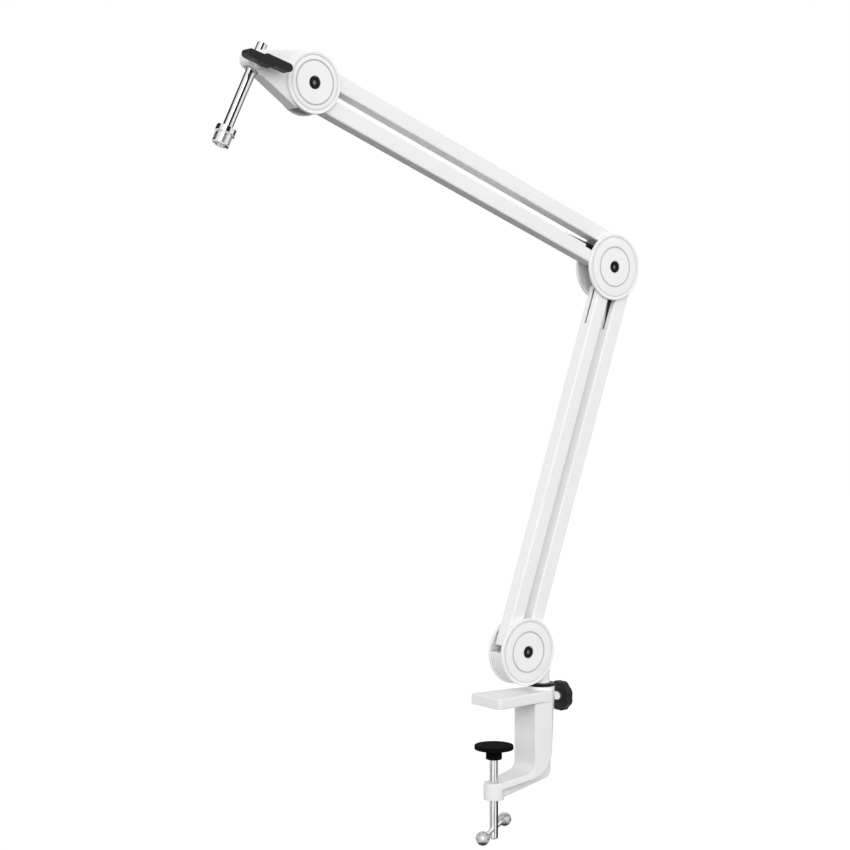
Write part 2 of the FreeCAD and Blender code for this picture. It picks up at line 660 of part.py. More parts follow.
def make_end(name, pin, gap, inwards, fork, bore, relief=0):
    """An end piece from square bar, inside the tube, milled to a tongue or a fork and rounded at its pin.

    A relief on its +X or -X side makes way for the link of a spring.
    """
    start = "(%s)" % pin
    far = "(%s %s (%s + insert_length))" % (start, inwards, gap)
    low, high = (start, far) if inwards == "+" else (far, start)
    half = "insert_size / 2"
    stem = rounded_bar(name + "_stem", "insert_size", "tube_corner - tube_wall", low, high)
    nose = rod(name + "_nose", half, "-" + half, half, "y", ("0", pin))
    blank = fuse(name + "_blank", stem, nose)
    shoulder = "(%s %s (%s))" % (start, inwards, gap)
    beyond = "(%s %s (insert_size + overrun))" % (start, "-" if inwards == "+" else "+")
    span = (beyond, shoulder) if inwards == "+" else (shoulder, beyond)
    wide = ("-insert_size", "insert_size")
    tools = [rod(name + "_bore", bore, "-tube_size", "tube_size", "y", ("0", pin))]
    if fork:
        tools.append(block(name + "_slot", wide, ("-fork_slot / 2", "fork_slot / 2"), span))
    else:
        tools.append(block(name + "_front_flat", wide, ("-tube_size", "-tongue_thick / 2"), span))
        tools.append(block(name + "_back_flat", wide, ("tongue_thick / 2", "tube_size"), span))
    if relief:
        inside = (shoulder, far + " + overrun") if inwards == "+" else (far + " - overrun", shoulder)
        for number, (depth, reach) in enumerate((("link_relief", inside), ("tongue_relief", span))):
            across = (depth, "insert_size") if relief > 0 else ("-insert_size", "-" + depth)
            tools.append(block("%s_relief_%d" % (name, number), across, ("-slot_width / 2", "slot_width / 2"), reach))
    return cut(name, blank, *tools)


def make_bush(name, height):
    """A nylon bush that fills the hub from disc to disc and runs on a pin."""
    outer = rod(name + "_blank", "bush_radius", "-tube_size / 2", "tube_size / 2", "y", ("0", height))
    inner = rod(name + "_bore", "pin_radius + run_gap", "-tube_size / 2 - overrun", "tube_size / 2 + overrun", "y",
                ("0", height))
    return cut(name, outer, inner)


def make_spring(name, low):
    """The outer shape of a close-wound spring."""
    outer = rod(name + "_blank", "spring_radius", low, "%s + spring_length" % low)
    inner = rod(name + "_bore", "spring_radius - spring_wire", "%s - overrun" % low,
                "%s + spring_length + overrun" % low)
    return cut(name, outer, inner)


def make_link(name, start, anchor, reach):
    """A flat link from a spring's end to its anchor; start and anchor are pairs of X and Z in the tube's frame."""
    across = "(%s - (%s))" % (anchor[0], start[0])
    up = "(%s - (%s))" % (anchor[1], start[1])
    lean = "atan2(%s; %s)" % (across, up)
    strip = block(name + "_strip", ("-link_width / 2", "link_width / 2"), ("-link_thick / 2", "link_thick / 2"),
                  ("0", reach))
    ends = ("0", reach)
    eyes = [rod("%s_eye_%d" % (name, number), "link_eye", "-link_thick / 2", "link_thick / 2", "y", ("0", end))
            for number, end in enumerate(ends)]
    holes = [rod("%s_hole_%d" % (name, number), "anchor_radius + run_gap", "-link_thick", "link_thick", "y", ("0", end))
             for number, end in enumerate(ends)]
    link = cut(name + "_flat", fuse(name + "_blank", strip, *eyes), *holes)
    return place(link, start[0], "0", start[1], lean)


def in_frame(name, thing, x, z, lean):
    """Sets a piece that was made along Z into its place in the arm."""
    seated = group(name, [thing])
    return place(seated, x, "0", z, lean)


def make_lower_pair():
    pieces = []
    for name, shift, tail, gap, shoulder in (("lower_front", "0", "front_tail", "front_gap", "front_gap + lug_recess"),
                                             ("lower_rear", "bar_spacing", "rear_tail", "rear_gap", "rear_gap")):
        x, z = at("base_x", "hub_height", "base_pin_u + " + shift, "base_pin_w")
        top = "(lower_length - %s)" % gap
        tools = [cross_hole(name + "_base_hole", "bush_radius + seat_gap", "0")]
        made = {}
        if name == "lower_front":
            tools.append(wall_slot(name + "_slit", -1, top + " - slit_length", top + " + overrun", "slit_width"))
        else:
            far = "(lower_length - lower_link_far)"
            near = "(lower_length - lower_link_near)"
            ramp = "(%s - %s) / lower_link_side" % (near, far)
            anchor = "(%s - spring_length - anchor_radius - face_gap)" % far
            tools.append(wall_slot(name + "_slot", -1, "%s + (tube_size / 2 - link_width) * %s" % (far, ramp),
                                   top + " + overrun", "slot_width"))
            tools.append(cross_hole(name + "_anchor_hole", "anchor_radius + seat_gap", anchor))
            reach = "sqrt(lower_link_side ^ 2 + (%s - %s) ^ 2)" % (near, far)
            made["lower_spring"] = make_spring("lower_spring_coil", far + " - spring_length")
            made["lower_link"] = make_link("lower_link", ("0", far), ("-lower_link_side", near), reach)
            made["lower_anchor"] = rod("lower_anchor_pin", "anchor_radius", "-tube_size / 2 + seat_gap",
                                       "tube_size / 2 - seat_gap", "y", ("0", anchor))
        made[name + "_tube"] = make_tube(name + "_tube_cut", "(-%s)" % tail, top, *tools)
        made[name + "_lug"] = make_end(name + "_lug_cut", "lower_length", shoulder, "-", False,
                                       "bush_radius + seat_gap", -1 if name == "lower_rear" else 0)
        made[name + "_bushes"] = group(name + "_bush_pair", [make_bush(name + "_base_bush", "0"),
                                                              make_bush(name + "_elbow_bush", "lower_length")])
        pieces += [in_frame(label, thing, x, z, "lower_lean") for label, thing in made.items()]
    return pieces


def make_upper_pair():
    pieces = []
    for name, rise, gap, bore in (("upper_top", "bar_spacing", "rear_gap", "bush_radius + seat_gap"),
                                  ("upper_bottom", "0", "bottom_gap", "sleeve_radius + run_gap")):
        x, z = at("elbow_x", "elbow_z", "0", rise)
        low = "(%s)" % gap
        tools = []
        made = {}
        bushes = [make_bush(name + "_head_bush", "upper_length")]
        if name == "upper_top":
            bushes.append(make_bush(name + "_elbow_bush", "0"))
        else:
            anchor = "upper_anchor_along"
            ramp = "(upper_link_near - upper_link_far) / upper_link_side"
            tools.append(wall_slot(name + "_slot", 1, low + " - overrun",
                                   "upper_link_far + (tube_size / 2 - link_width) * " + ramp, "slot_width"))
            tools.append(block(name + "_notch", ("tube_size / 2 - notch_depth", "tube_size"),
                               ("-tube_size", "tube_size"), (low + " - overrun", low + " + notch_length")))
            tools.append(cross_hole(name + "_anchor_hole", "anchor_radius + seat_gap", anchor))
            reach = "sqrt(upper_link_side ^ 2 + (upper_link_far - upper_link_near) ^ 2)"
            made["upper_spring"] = make_spring("upper_spring_coil", "upper_link_far")
            made["upper_link"] = make_link("upper_link", ("0", "upper_link_far"),
                                           ("upper_link_side", "upper_link_near"), reach)
            made["upper_anchor"] = rod("upper_anchor_pin", "anchor_radius", "-tube_size / 2 + seat_gap",
                                       "tube_size / 2 - seat_gap", "y", ("0", anchor))
        made[name + "_tube"] = make_tube(name + "_tube_cut", low, "(upper_length - head_gap)", *tools)
        made[name + "_fork"] = make_end(name + "_fork_cut", "0", gap, "+", True, bore,
                                        1 if name == "upper_bottom" else 0)
        made[name + "_lug"] = make_end(name + "_lug_cut", "upper_length", "head_gap", "-", False,
                                       "bush_radius + seat_gap")
        made[name + "_bushes"] = group(name + "_bush_group", bushes)
        pieces += [in_frame(label, thing, x, z, "upper_lean") for label, thing in made.items()]
    return pieces


# Head, rod and wing knob
def make_head_casting():
    """A teardrop between the head's discs, tapering to a tip that the rod passes through."""
    round_end = rod("head_round_blank", "wedge_radius", "-tube_size / 2", "tube_size / 2", "y", ("head_x", "head_z"))
    behind = block("head_behind", ("head_x", "head_x + 2 * wedge_radius"), ("-tube_size", "tube_size"),
                   ("head_z - 2 * wedge_radius", "head_z + 2 * wedge_radius"))
    below = block("head_below", ("0", "2 * wedge_radius"), ("-tube_size", "tube_size"), ("-2 * wedge_radius", "0"))
    place(below, "head_x", "-tube_size", "head_z", "wedge_under_sweep - 90")
    below.setExpression("Placement.Base.x", ex("head_x - 2 * wedge_radius * sin(90 - wedge_under_sweep)"))
    below.setExpression("Placement.Base.z", ex("head_z - 2 * wedge_radius * cos(90 - wedge_under_sweep)"))
    drum = cut("head_round", round_end, behind, below)
    top = ("-wedge_radius * sin(wedge_top_tilt)", "wedge_radius * cos(wedge_top_tilt)")
    under = ("-wedge_radius * sin(wedge_under_tilt)", "-wedge_radius * cos(wedge_under_tilt)")
    tip_top = ("-wedge_nose", "%s - (wedge_nose - wedge_radius * sin(wedge_top_tilt)) * tan(wedge_top_tilt)" % top[1])
    tip_under = ("-wedge_nose",
                 "%s + (wedge_nose - wedge_radius * sin(wedge_under_tilt)) * tan(wedge_under_tilt)" % under[1])
    cheek = plate("head_cheek", "XZ_Plane", [("0", "0"), top, tip_top, tip_under, under], "tube_size",
                  [("tip_round", (2, 3))])
    place(cheek, "head_x", "0", "head_z")
    boss = rod("head_boss", "hub_boss_radius", "-tube_size / 2", "tube_size / 2", "y", ("head_x", "head_z"))
    wing_boss = rod("head_wing_boss", "wing_boss_radius", "-wing_face", "0", "y", ("tip_x", "tip_z"))
    casting = fuse("head_casting_blank", drum, cheek, boss, wing_boss)
    bolt_bore = rod("head_bolt_bore", "sleeve_radius + run_gap", "-tube_size", "tube_size", "y", ("head_x", "head_z"))
    rod_bore = on_rod(rod("head_rod_bore", "liner_radius + run_gap", "0", "2 * wedge_radius"), "-wedge_radius")
    stud_bore = rod("head_stud_bore", "wing_stud_radius + run_gap", "-wing_face - overrun", "0", "y", ("tip_x", "tip_z"))
    return cut("head_casting", casting, bolt_bore, rod_bore, stud_bore)


def on_rod(thing, along):
    """Lays a piece made along Z on the axis of the rod, starting at a distance along it."""
    return place(thing, "tip_x + (%s) * sin(rod_tilt)" % along, "0", "tip_z + (%s) * cos(rod_tilt)" % along, "rod_tilt")


def make_rod_pieces():
    liner = on_rod(turned("rod_liner", [
        ("rod_radius + run_gap", "-liner_below"), ("liner_radius", "-liner_below"),
        ("liner_radius", "liner_above"), ("rod_radius + run_gap", "liner_above")]), "0")
    bar = on_rod(rod("mic_rod", "rod_radius", "0", "rod_above + rod_below + thread_seat"), "-rod_below - thread_seat")
    ring = "-rod_below - collar_ring_length"
    adapter = on_rod(turned("thread_adapter", [
        ("rod_radius + seat_gap", "-rod_below"), ("collar_ring_radius", "-rod_below"),
        ("collar_ring_radius", ring), ("thread_radius", ring),
        ("thread_radius", ring + " - thread_length + thread_bevel"),
        ("thread_radius - thread_bevel", ring + " - thread_length"), ("0", ring + " - thread_length"),
        ("0", "-rod_below - thread_seat - seat_gap"),
        ("rod_radius + seat_gap", "-rod_below - thread_seat - seat_gap")]), "0")
    return [liner, bar, adapter]


def make_wing_knob():
    """A knob of two wings, each a little to its own side of the middle line, on a collar."""
    wings = []
    for side, sign in (("left", -1), ("right", 1)):
        ends = ("-wing_length / 2 + wing_width / 2", "0") if sign < 0 else ("0", "wing_length / 2 - wing_width / 2")
        middle = "(%d * wing_jog)" % sign
        arm = block("wing_%s_arm" % side, ends, ("0", "wing_depth"),
                    (middle + " - wing_width / 2", middle + " + wing_width / 2"))
        end = rod("wing_%s_end" % side, "wing_width / 2", "0", "wing_depth", "y",
                  (ends[0] if sign < 0 else ends[1], middle))
        wings += [arm, end]
    middle = block("wing_middle", ("-wing_length * wing_hub_share / 2", "wing_length * wing_hub_share / 2"),
                   ("0", "wing_depth"), ("-wing_width / 2 - wing_jog", "wing_width / 2 + wing_jog"))
    collar = rod("wing_collar", "wing_collar_radius", "wing_depth - overrun", "wing_depth + wing_collar_length", "y")
    bore = rod("wing_bore", "wing_stud_radius + seat_gap", "wing_depth / 2", "wing_depth + wing_collar_length + overrun",
               "y")
    knob = cut("wing_knob_blank", fuse("wing_knob_body", middle, collar, *wings), bore)
    face = "(wing_face + face_gap)"
    start = "-%s - wing_collar_length - wing_depth" % face
    place(knob, "tip_x", start, "tip_z", "wing_turn")
    stud = rod("wing_stud", "wing_stud_radius", "%s + wing_depth / 2 + seat_gap" % start, "-liner_radius - face_gap", "y",
               ("tip_x", "tip_z"))
    return [group("wing_knob", [knob]), stud]


nodes = [make_clamp_frame(), make_post_bush(), *make_thumb_screw(), *make_clamp_screw(), *make_tommy_bar()]
nodes += [make_base_casting(), *make_hub("base", "base_x", "hub_height", "disc_radius", BASE_PINS)]
nodes += [make_pins("base_pins", BASE_PINS), *make_lower_pair()]
nodes += make_hub("elbow", "elbow_x", "elbow_z", "disc_radius", ELBOW_PINS + ELBOW_ANCHORS)
nodes += [make_sleeve("elbow_sleeve", "elbow_x", "elbow_z"), make_pins("elbow_pins", ELBOW_PINS)]
nodes += [make_pins("spring_anchors", ELBOW_ANCHORS), *make_upper_pair()]
nodes += make_hub("head", "head_x", "head_z", "head_disc_radius", HEAD_PINS)
nodes += [make_sleeve("head_sleeve", "head_x", "head_z"), make_pins("head_pins", HEAD_PINS)]
nodes += [make_head_casting(), *make_rod_pieces(), *make_wing_knob()]
doc.recompute()

for thing in doc.Objects:
    if "Invalid" in thing.State or "Error" in thing.State:
        raise RuntimeError("%s failed: %s" % (thing.Label, thing.State))
for node in nodes:
    if node.Shape.isNull() or not node.Shape.isValid():
        raise RuntimeError("%s has no valid shape" % node.Label)

os.makedirs("parts", exist_ok=True)
for node in nodes:
    node.Shape.exportStep("parts/%s.step" % node.Label)
    print("%s: %d solids, %.0f mm3" % (node.Label, len(node.Shape.Solids), node.Shape.Volume))
print("%d sub-parts" % len(nodes))
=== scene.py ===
# %% [markdown]
# # A white microphone boom arm
# The arm is an assembly: a screw clamp, three round hubs and two pairs of square tubes that work as two
# parallelograms. The solids come in as a fixed frame, in metres, and the record names the body that each
# moves with. This lesson gives every solid its finish, and puts a better shape in front of it where the plain
# solid is too hard-edged to look like the real piece.

import json
import math

import bmesh
import bpy
from mathutils import Matrix, Vector


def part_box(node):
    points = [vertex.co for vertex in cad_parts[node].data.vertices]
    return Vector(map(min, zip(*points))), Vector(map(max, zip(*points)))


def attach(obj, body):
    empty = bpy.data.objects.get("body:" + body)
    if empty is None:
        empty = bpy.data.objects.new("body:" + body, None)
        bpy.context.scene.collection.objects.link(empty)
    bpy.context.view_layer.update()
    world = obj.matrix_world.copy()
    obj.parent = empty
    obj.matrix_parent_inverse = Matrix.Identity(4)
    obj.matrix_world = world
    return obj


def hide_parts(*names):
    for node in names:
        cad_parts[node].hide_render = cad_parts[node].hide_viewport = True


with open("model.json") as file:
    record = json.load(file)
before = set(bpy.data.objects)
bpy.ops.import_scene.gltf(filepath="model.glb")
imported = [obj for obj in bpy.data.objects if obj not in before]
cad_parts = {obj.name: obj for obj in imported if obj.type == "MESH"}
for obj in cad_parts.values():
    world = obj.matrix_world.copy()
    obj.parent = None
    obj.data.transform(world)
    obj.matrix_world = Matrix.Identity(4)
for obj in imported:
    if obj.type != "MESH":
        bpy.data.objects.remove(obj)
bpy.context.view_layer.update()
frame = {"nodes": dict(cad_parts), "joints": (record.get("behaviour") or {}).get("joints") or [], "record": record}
MM = 0.001
BODY_OF = {node: body for body, nodes in frame["record"]["behaviour"]["bodies"].items() for node in nodes}
SLOT_OF = {part["node"]: part["material_slot"] for part in frame["record"]["subparts"]}

# %% [markdown]
# ## Camera
# The arm was photographed from the front left, from a little above the middle of its height, with a long
# lens. A camera is placed by its location and by two turns: up from looking straight down, then round the
# vertical. The lens follows from the distance at which the picture's own perspective fits: 2000 pixels of
# focal length on a picture 850 pixels wide.

# %% Camera
PICTURE = 850
FOCAL = 2000
YAW, PITCH = 37.4, -2.89
SPOT = Vector((-1179.7, -1436.5, 357)) * MM

camera_data = bpy.data.cameras.new("photo_lens")
camera_data.sensor_width = 36
camera_data.lens = camera_data.sensor_width * FOCAL / PICTURE
camera_data.clip_start, camera_data.clip_end = 0.05, 50
camera = bpy.data.objects.new("photo_camera", camera_data)
camera.location = SPOT
camera.rotation_euler = (math.radians(90 + PITCH), 0, math.radians(-YAW))
bpy.context.scene.collection.objects.link(camera)
bpy.context.scene.camera = camera
print("lens of %.1f mm, %.2f m from the clamp" % (camera_data.lens, SPOT.length))

# %% [markdown]
# ## Colours and nodes
# A screen colour such as #f2f2f2 is stored on a curve, while a shader mixes light, which adds up in plain
# numbers. One function turns the first into the second. A second small function adds any node, sets its
# options and sockets, and links its inputs. The rest build on it: a cloudy noise, a colour between two
# colours, a bump, and the links to the main shader, so that each material below reads as a short list.

# %% Colour and node helpers
def linear(colour):
    """A hex colour of a screen as the plain amounts of light that a shader works with."""
    parts = [int(colour[start:start + 2], 16) / 255 for start in (1, 3, 5)]
    return [p / 12.92 if p <= 0.04045 else ((p + 0.055) / 1.055) ** 2.4 for p in parts] + [1.0]


def add(tree, kind, options=None, sockets=None, links=None):
    """Adds a node: its options, the fixed values of its sockets, and the outputs linked to its inputs."""
    node = tree.nodes.new("ShaderNode" + kind)
    for name, chosen in (options or {}).items():
        setattr(node, name, chosen)
    for name, number in (sockets or {}).items():
        node.inputs[name].default_value = number
    for name, output in (links or {}).items():
        tree.links.new(output, node.inputs[name])
    return node


def blank(name, **sockets):
    """A new material with its main shader, whose even values go straight onto the shader's sockets."""
    material = bpy.data.materials.new(name)
    material.use_nodes = True
    shader = material.node_tree.nodes["Principled BSDF"]
    for socket, number in sockets.items():
        shader.inputs[socket.replace("_", " ")].default_value = number
    place = add(material.node_tree, "TexCoord")
    return material, material.node_tree, shader, place.outputs["Object"]


def per_metre(millimetres):
    """The scale of a pattern whose marks are this far apart."""
    return 1 / (millimetres * MM)


def noise(tree, where, width, detail):
    """A cloudy pattern, from 0 to 1, whose marks are so many mm apart."""
    made = add(tree, "TexNoise", sockets={"Scale": per_metre(width), "Detail": detail}, links={"Vector": where})
    return made.outputs["Fac"]


def blend(tree, first, second, share):
    """The colour between two hex colours, where a pattern gives the share of the second."""
    made = add(tree, "Mix", {"data_type": "RGBA"}, {6: linear(first), 7: linear(second)}, {0: share})
    return made.outputs[2]


def relief(tree, pattern, strength, height):
    """A bump that follows a pattern, so many mm high."""
    made = add(tree, "Bump", sockets={"Strength": strength, "Distance": height * MM}, links={"Height": pattern})
    return made.outputs["Normal"]


def dress(tree, shader, colour, roughness, normal):
    """Links a colour, a roughness and a bump to the main shader."""
    tree.links.new(colour, shader.inputs["Base Color"])
    tree.links.new(roughness, shader.inputs["Roughness"])
    tree.links.new(normal, shader.inputs["Normal"])


FINISH = {}
print("white of the paint in light:", [round(p, 3) for p in linear("#f2f2f2")])

# %% [markdown]
# ## Powder-coated steel tube
# The square tubes are steel, sprayed with dry white powder that melts in an oven. The melt leaves a satin
# skin with a soft dimpling, like the peel of an orange, about a millimetre from dimple to dimple. A noise
# gives the dimples as a bump, a wider noise moves the gloss a little, as a hand spray does, and the two
# whites differ by what the eye just sees. The dimples are drawn about twice as wide as they are, because a
# picture of the whole arm has only one pixel for each millimetre.

# %% Powder coat
def coat(name, pale, shade, peel, height, gloss, drift):
    """A white sprayed skin: two near whites, dimples of a width and height in mm, and a range of gloss."""
    material, tree, shader, here = blank(name, IOR=1.5, Specular_IOR_Level=0.3)
    cloud = noise(tree, here, drift, 3.0)
    tint = blend(tree, shade, pale, cloud)
    sheen = add(tree, "MapRange", sockets={"To Min": gloss[0], "To Max": gloss[1]}, links={"Value": cloud})
    dimples = noise(tree, here, peel, 1.0)
    dress(tree, shader, tint, sheen.outputs["Result"], relief(tree, dimples, 0.5, height))
    return material


FINISH["powder_coat"] = coat("powder_coated_steel", "#f4f4f4", "#efefef", 2.2, 0.03, (0.36, 0.46), 60)
print("powder coat:", len(FINISH["powder_coat"].node_tree.nodes), "nodes")

# %% [markdown]
# ## Painted zinc casting
# The clamp, the hub casting and the head are cast in a steel mould and painted. A casting is less even
# than a drawn tube, so the paint lies in wider waves and its gloss wanders a little more.

# %% Painted casting
FINISH["cast_white"] = coat("painted_zinc_casting", "#f2f2f2", "#ececec", 3.0, 0.05, (0.32, 0.44), 35)
print("painted casting:", len(FINISH["cast_white"].node_tree.nodes), "nodes")

# %% [markdown]
# ## Moulded white plastic
# The round hub covers are moulded in ABS, a tough glossy plastic. The mould was finished by sparks, which
# leave a fine even grain of a few tenths of a millimetre. It is drawn at 1 mm, because the real grain is
# finer than a pixel here.

# %% Moulded white
FINISH["disc_white"] = coat("spark_grained_abs", "#f5f5f5", "#f1f1f1", 1.0, 0.02, (0.28, 0.36), 25)
print("moulded white:", len(FINISH["disc_white"].node_tree.nodes), "nodes")

# %% [markdown]
# ## Black plastics
# The two knobs are black nylon filled with glass fibres, which lie near the skin and give a fine, dull,
# slightly streaky grain. The pad of the clamp is moulded rubber, which must grip a desk, so it hardly
# shines at all, and the bush of the post is acetal, a dense slippery plastic. The three share one recipe:
# a grain, and a Pointiness input that makes the edges smoother than the flats and paints them a little
# paler, as a painted highlight along the edges.

# %% Black plastics
def black(name, deep, pale, edge, grain, height, gloss, shine):
    """A black moulding: its two blacks, the colour of its painted edge highlight, grain width and height in mm,
    roughness and shine.
    """
    material, tree, shader, here = blank(name, IOR=1.53, Specular_IOR_Level=shine)
    fibres = noise(tree, here, grain, 4.0)
    corner = add(tree, "NewGeometry")
    # painted highlight: edges found by Pointiness get the paler edge colour
    painted_highlight = add(tree, "MapRange", sockets={"From Min": 0.5, "From Max": 0.62},
               links={"Value": corner.outputs["Pointiness"]})
    ground = blend(tree, deep, pale, fibres)
    tint = add(tree, "Mix", {"data_type": "RGBA"}, {7: linear(edge)}, {0: painted_highlight.outputs["Result"], 6: ground})
    sheen = add(tree, "MapRange", sockets={"To Min": gloss[1], "To Max": gloss[0]},
                links={"Value": painted_highlight.outputs["Result"]})
    dress(tree, shader, tint.outputs[2], sheen.outputs["Result"], relief(tree, fibres, 0.4, height))
    return material


FINISH["black_plastic"] = black("moulded_glass_nylon", "#0d0d0e", "#171718", "#2a2a2c", 0.9, 0.05,
                                (0.34, 0.50), 0.30)
RUBBER = black("moulded_rubber", "#080808", "#0d0d0d", "#161616", 1.4, 0.06, (0.70, 0.85), 0.03)
ACETAL = black("turned_acetal", "#09090a", "#0f0f10", "#1c1c1d", 1.0, 0.02, (0.40, 0.52), 0.15)
print("blacks:", [made.name for made in (FINISH["black_plastic"], RUBBER, ACETAL)])

# %% [markdown]
# ## Bare and plated metal
# Six metals are left: chrome plate on the rod, screw and turning bar, satin nickel on its balls, black oxide
# on the bolts, blued strip for the links of the springs, pale zinc plate on pins and studs, and drawn spring
# wire. A metal's colour is the colour of its reflection, so each differs in tint and in how far its surface
# scatters. Turning and drawing leave faint lines, made here by a noise that is squeezed along one axis and
# moves the tint, the roughness and a very low bump.

# %% Metals
SQUEEZE = 6.0


def metal(name, bright, dull, rough, line, height):
    """A metal: two tints of its reflection, a range of roughness, and the spacing and height of its marks."""
    material, tree, shader, here = blank(name, Metallic=1.0)
    turned = add(tree, "Mapping", sockets={"Scale": (1.0, 1.0, SQUEEZE)}, links={"Vector": here})
    marks = noise(tree, turned.outputs["Vector"], line, 3.0)
    tint = blend(tree, dull, bright, marks)
    scatter = add(tree, "MapRange", sockets={"To Min": rough[0], "To Max": rough[1]}, links={"Value": marks})
    dress(tree, shader, tint, scatter.outputs["Result"], relief(tree, marks, 0.3, height))
    return material


FINISH["chrome"] = metal("polished_chrome_plate", "#e6e7e9", "#dcdde0", (0.05, 0.09), 3.0, 0.0015)
FINISH["black_oxide"] = metal("black_oxide_steel", "#2c2c2e", "#1c1c1e", (0.32, 0.46), 1.2, 0.01)
FINISH["zinc"] = metal("zinc_plated_steel", "#c9ccd0", "#b4b8bd", (0.24, 0.38), 2.0, 0.01)
FINISH["spring_steel"] = metal("drawn_spring_wire", "#8d8f92", "#6f7174", (0.30, 0.42), 1.0, 0.01)
BLUED = metal("blued_spring_strip", "#5c5a56", "#484744", (0.36, 0.48), 1.2, 0.01)
NICKEL = metal("satin_nickel_plate", "#cfcfcf", "#c2c2c4", (0.38, 0.44), 2.0, 0.001)
METALS = [FINISH[slot] for slot in ("chrome", "black_oxide", "zinc", "spring_steel")] + [BLUED, NICKEL]
print("metals:", [made.name for made in METALS])

# %% [markdown]
# ## Rolled thread of the clamp screw
# The clamp screw is a chromed bar with a thread rolled into it, 2 mm from turn to turn. A thread climbs as it
# goes round, so its height follows from two numbers added up: how far along the axis a point is, in turns,
# and how far round it is. The screw stands on the origin, so a radial gradient gives the second. A
# triangle of the sum is the thread. It is kept shallow, because each turn is only two pixels here.

# %% Rolled thread
THREAD_PITCH, THREAD_HIGH, HALF_TURN = 2.0, 0.25, 0.5
rolled = FINISH["chrome"].copy()
rolled.name = "chromed_rolled_thread"
tree = rolled.node_tree
shader = tree.nodes["Principled BSDF"]
place = add(tree, "TexCoord")
around = add(tree, "TexGradient", {"gradient_type": "RADIAL"}, links={"Vector": place.outputs["Object"]})
parts = add(tree, "SeparateXYZ", links={"Vector": place.outputs["Object"]})
climb = add(tree, "Math", {"operation": "MULTIPLY_ADD"}, {1: per_metre(THREAD_PITCH)},
            {0: parts.outputs["Z"], 2: around.outputs["Fac"]})
flank = add(tree, "Math", {"operation": "PINGPONG"}, {1: HALF_TURN}, {0: climb.outputs[0]})
tree.links.new(relief(tree, flank.outputs[0], 0.4, THREAD_HIGH), shader.inputs["Normal"])
print("rolled thread:", THREAD_PITCH, "mm from turn to turn")

# %% [markdown]
# ## Natural nylon
# The bushes on the pins and the liner of the rod are nylon as it comes from the mould: milky, a little warm,
# and slightly see-through, so a small subsurface share softens it.

# %% Natural nylon
material, tree, shader, here = blank("natural_nylon", IOR=1.53, Roughness=0.42, Subsurface_Weight=0.15,
                                     Subsurface_Radius=(0.002, 0.0018, 0.0015), Subsurface_Scale=1.0)
milk = blend(tree, "#dedbd0", "#e8e6dd", noise(tree, here, 4, 2.0))
tree.links.new(milk, shader.inputs["Base Color"])
FINISH["nylon"] = material
print("natural nylon:", len(tree.nodes), "nodes")

# %% [markdown]
# ## Every solid gets its finish
# The record names a material slot for each solid, so one loop paints them all. Six pieces have a finish of
# their own within their slot.

# %% Paint the solids
OWN = {"screw_pad": RUBBER, "post_bush": ACETAL, "clamp_screw": rolled, "tommy_balls": NICKEL,
       "lower_link": BLUED, "upper_link": BLUED}


def finish_of(node):
    """The finish of a solid: its own, or the one of its slot."""
    return OWN.get(node, FINISH[SLOT_OF[node]])


for node, thing in frame["nodes"].items():
    thing.data.materials.clear()
    thing.data.materials.append(finish_of(node))
print("painted", len(frame["nodes"]), "solids")

# %% [markdown]
# ## Soft edges
# No real edge is a perfect corner: paint pools on it, a mould rounds it and a bar is deburred. A rounded edge
# also catches a thin line of light, which is how the eye tells a real piece from a drawing. A bevel does
# this. The copy's loose triangles are first merged into whole faces, so that only true edges are rounded,
# and weighted normals keep the flats flat in the shading. Points closer than the weld, in mm, become one,
# and the angles, in degrees, say what counts as flat and what as sharp.

# %% Bevel helper
WELD, FLAT_ANGLE, SHARP_ANGLE, EDGE_STEPS = 0.002, 0.5, 28, 3


def stand_in(name, mesh, node):
    """A new piece in front of one solid: it rides on the solid's body and takes its finish."""
    thing = bpy.data.objects.new(name, mesh)
    bpy.context.scene.collection.objects.link(thing)
    mesh.materials.clear()
    mesh.materials.append(finish_of(node))
    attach(thing, BODY_OF[node])
    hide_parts(node)
    return thing


def settle(data, *modifiers):
    """A mesh or curve as a mesh with modifiers worked into it; each is a kind and its settings."""
    carrier = bpy.data.objects.new("carrier", data)
    bpy.context.scene.collection.objects.link(carrier)
    for kind, settings in modifiers:
        modifier = carrier.modifiers.new(kind.lower(), kind)
        for name, chosen in settings.items():
            setattr(modifier, name, chosen)
    drawn = carrier.evaluated_get(bpy.context.evaluated_depsgraph_get())
    result = bpy.data.meshes.new_from_object(drawn)
    bpy.data.objects.remove(carrier)
    return result


def merged(node):
    """A copy of a solid's mesh with its triangles joined into whole faces."""
    mesh = frame["nodes"][node].data.copy()
    work = bmesh.new()
    work.from_mesh(mesh)
    bmesh.ops.remove_doubles(work, verts=work.verts, dist=WELD * MM)
    bmesh.ops.dissolve_limit(work, angle_limit=math.radians(FLAT_ANGLE), verts=work.verts, edges=work.edges)
    for face in work.faces:
        face.smooth = True
    work.to_mesh(mesh)
    work.free()
    return mesh


def soft_edged(node, edge):
    """A solid with its sharp edges rounded by so many mm."""
    mesh = settle(merged(node),
                  ("BEVEL", {"width": edge * MM, "segments": EDGE_STEPS, "limit_method": "ANGLE",
                             "angle_limit": math.radians(SHARP_ANGLE), "use_clamp_overlap": True}),
                  ("WEIGHTED_NORMAL", {"keep_sharp": True}))
    return stand_in(node + "_soft", mesh, node)


